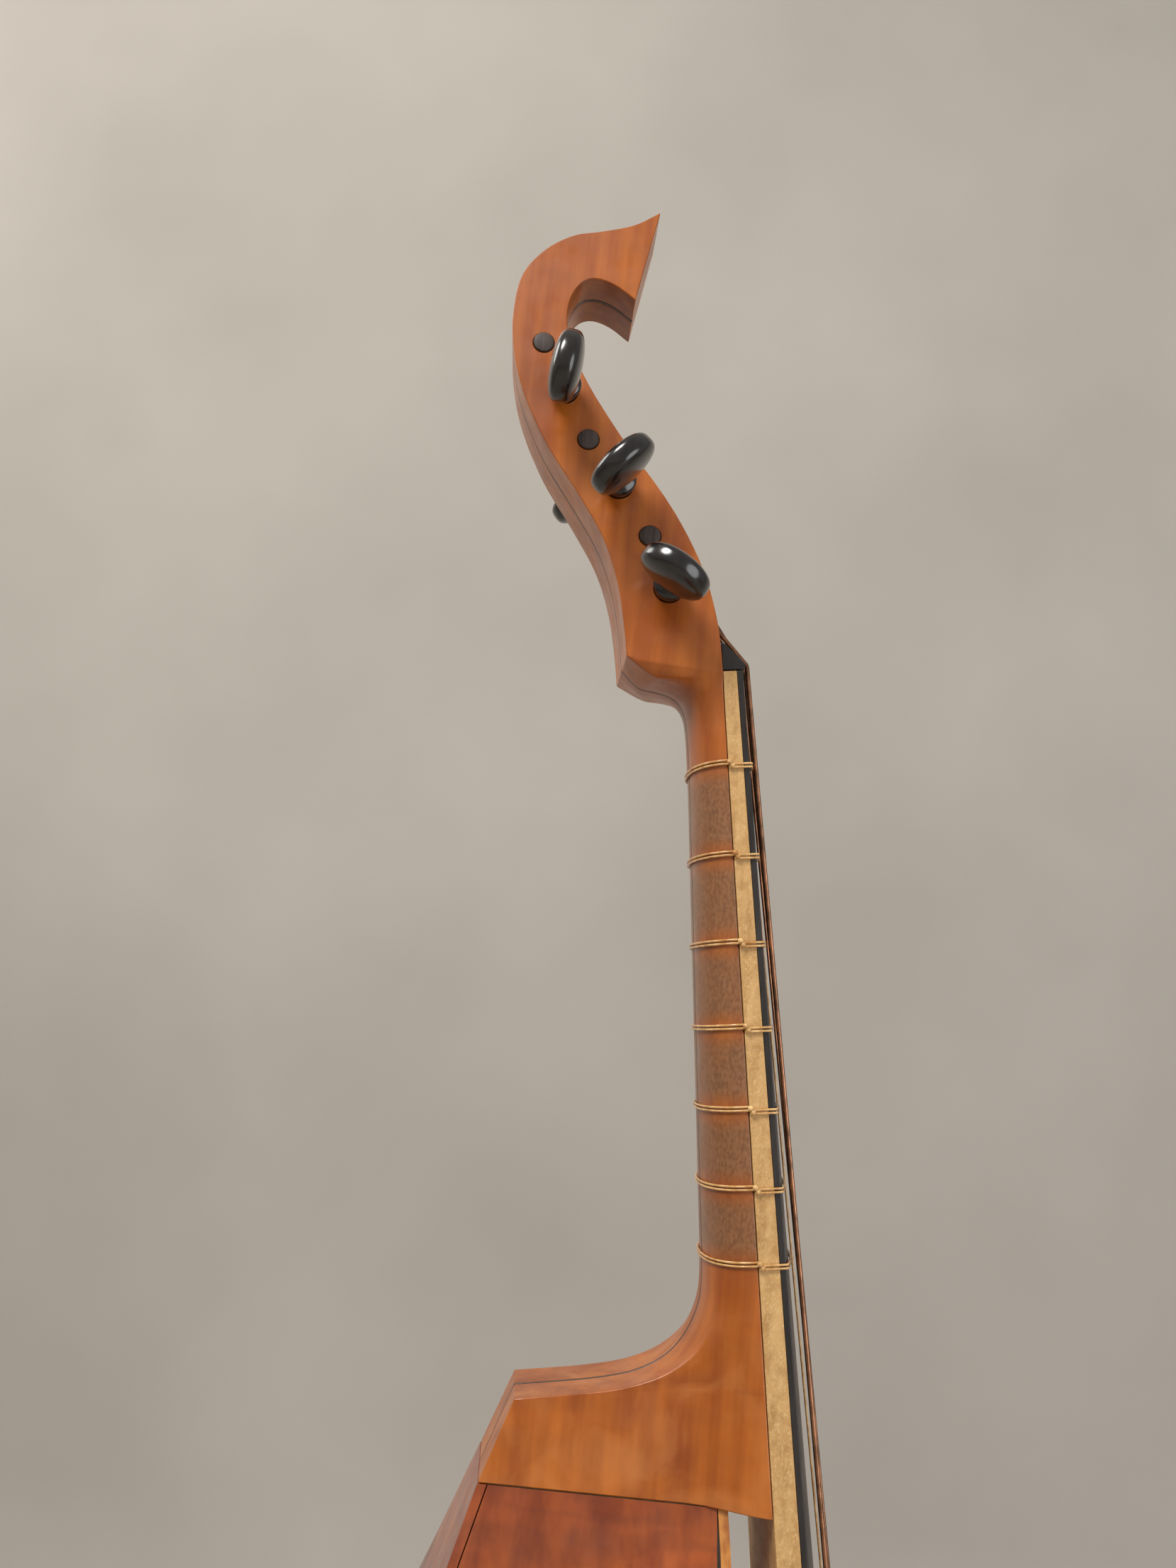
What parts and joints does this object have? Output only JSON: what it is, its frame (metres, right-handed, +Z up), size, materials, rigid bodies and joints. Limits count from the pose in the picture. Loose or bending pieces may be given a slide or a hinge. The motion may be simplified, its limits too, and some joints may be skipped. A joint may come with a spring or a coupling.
{
  "type": "viola da gamba",
  "caption": "Bass viola da gamba: fretted bowed instrument with a hooked open head, flat canted back, side pegs, bridge and tailpiece.",
  "frame": {"origin": "on the outer face of the flat back, on the centre line, level with the widest lower bout", "axes": "+Z up the body to the head, +Y out of the flat back, -Y out of the belly, -X towards the bass side"},
  "size_m": [0.39, 0.2296, 1.2084],
  "materials": {
    "varnished_maple": "gloss varnish",
    "rib_maple": "gloss varnish",
    "varnished_spruce": "gloss varnish",
    "core_maple": "satin oil",
    "bridge_maple": "satin, unvarnished",
    "bare_spruce": "bare",
    "ebony": "polished",
    "gut": "translucent gut",
    "copper_wound": "close wound wire"
  },
  "bodies": {
    "root": {"back": "rib_maple", "back_bar_fold": "bare_spruce", "back_bar_lower": "bare_spruce", "back_bar_upper": "bare_spruce", "bass_bar": "bare_spruce", "belly": "varnished_spruce", "bridge": "bridge_maple", "corner_block_lower_bass": "bare_spruce", "corner_block_lower_treble": "bare_spruce", "corner_block_upper_bass": "bare_spruce", "corner_block_upper_treble": "bare_spruce", "end_block": "bare_spruce", "fingerboard_core": "core_maple", "fingerboard_veneer": "ebony", "hook_bar": "ebony", "lining_lower_bass": "bare_spruce", "lining_lower_treble": "bare_spruce", "lining_upper_bass": "bare_spruce", "lining_upper_treble": "bare_spruce", "lining_waist_bass": "bare_spruce", "lining_waist_treble": "bare_spruce", "neck_bass_half": "varnished_maple", "neck_centre_strip": "ebony", "neck_treble_half": "varnished_maple", "nut": "ebony", "rib_lower_bass": "rib_maple", "rib_lower_treble": "rib_maple", "rib_upper_bass": "rib_maple", "rib_upper_treble": "rib_maple", "rib_waist_bass": "rib_maple", "rib_waist_treble": "rib_maple", "sound_post": "bare_spruce", "soundpost_plate": "bare_spruce", "string_1": "gut", "string_2": "gut", "string_3": "gut", "string_4": "copper_wound", "string_5": "copper_wound", "string_6": "copper_wound", "tailpiece": "ebony", "top_block": "bare_spruce"},
    "peg_1": {"peg_1": "ebony", "string_winding_1": "gut"},
    "peg_2": {"peg_2": "ebony", "string_winding_2": "gut"},
    "peg_3": {"peg_3": "ebony", "string_winding_3": "gut"},
    "peg_4": {"peg_4": "ebony", "string_winding_4": "copper_wound"},
    "peg_5": {"peg_5": "ebony", "string_winding_5": "copper_wound"},
    "peg_6": {"peg_6": "ebony", "string_winding_6": "copper_wound"},
    "fret_1": {"fret_1": "gut"},
    "fret_2": {"fret_2": "gut"},
    "fret_3": {"fret_3": "gut"},
    "fret_4": {"fret_4": "gut"},
    "fret_5": {"fret_5": "gut"},
    "fret_6": {"fret_6": "gut"},
    "fret_7": {"fret_7": "gut"}
  },
  "joints": [
    {"name": "peg_1_turn", "type": "hinge", "parent": "root", "child": "peg_1", "pos_m": [0, -0.06991, 0.8849], "axis": [1, 0, 0], "range_deg": [-270, 45]},
    {"name": "peg_2_turn", "type": "hinge", "parent": "root", "child": "peg_2", "pos_m": [0, -0.04085, 0.92484], "axis": [1, 0, 0], "range_deg": [-270, 45]},
    {"name": "peg_3_turn", "type": "hinge", "parent": "root", "child": "peg_3", "pos_m": [0, -0.01805, 0.96703], "axis": [1, 0, 0], "range_deg": [-270, 45]},
    {"name": "peg_4_turn", "type": "hinge", "parent": "root", "child": "peg_4", "pos_m": [0, -0.02879, 0.94595], "axis": [-1, 0, 0], "range_deg": [-270, 45]},
    {"name": "peg_5_turn", "type": "hinge", "parent": "root", "child": "peg_5", "pos_m": [0, -0.05514, 0.90595], "axis": [-1, 0, 0], "range_deg": [-270, 45]},
    {"name": "peg_6_turn", "type": "hinge", "parent": "root", "child": "peg_6", "pos_m": [0, -0.07933, 0.86314], "axis": [-1, 0, 0], "range_deg": [-270, 45]},
    {"name": "fret_1_slide", "type": "slide", "parent": "root", "child": "fret_1", "axis": [0, 0.1305, 0.9914], "range_m": [-0.004, 0.004]},
    {"name": "fret_2_slide", "type": "slide", "parent": "root", "child": "fret_2", "axis": [0, 0.1305, 0.9914], "range_m": [-0.004, 0.004]},
    {"name": "fret_3_slide", "type": "slide", "parent": "root", "child": "fret_3", "axis": [0, 0.1305, 0.9914], "range_m": [-0.004, 0.004]},
    {"name": "fret_4_slide", "type": "slide", "parent": "root", "child": "fret_4", "axis": [0, 0.1305, 0.9914], "range_m": [-0.004, 0.004]},
    {"name": "fret_5_slide", "type": "slide", "parent": "root", "child": "fret_5", "axis": [0, 0.1305, 0.9914], "range_m": [-0.004, 0.004]},
    {"name": "fret_6_slide", "type": "slide", "parent": "root", "child": "fret_6", "axis": [0, 0.1305, 0.9914], "range_m": [-0.003, 0.004]},
    {"name": "fret_7_slide", "type": "slide", "parent": "root", "child": "fret_7", "axis": [0, 0.1305, 0.9914], "range_m": [0, 0.004]}
  ]
}
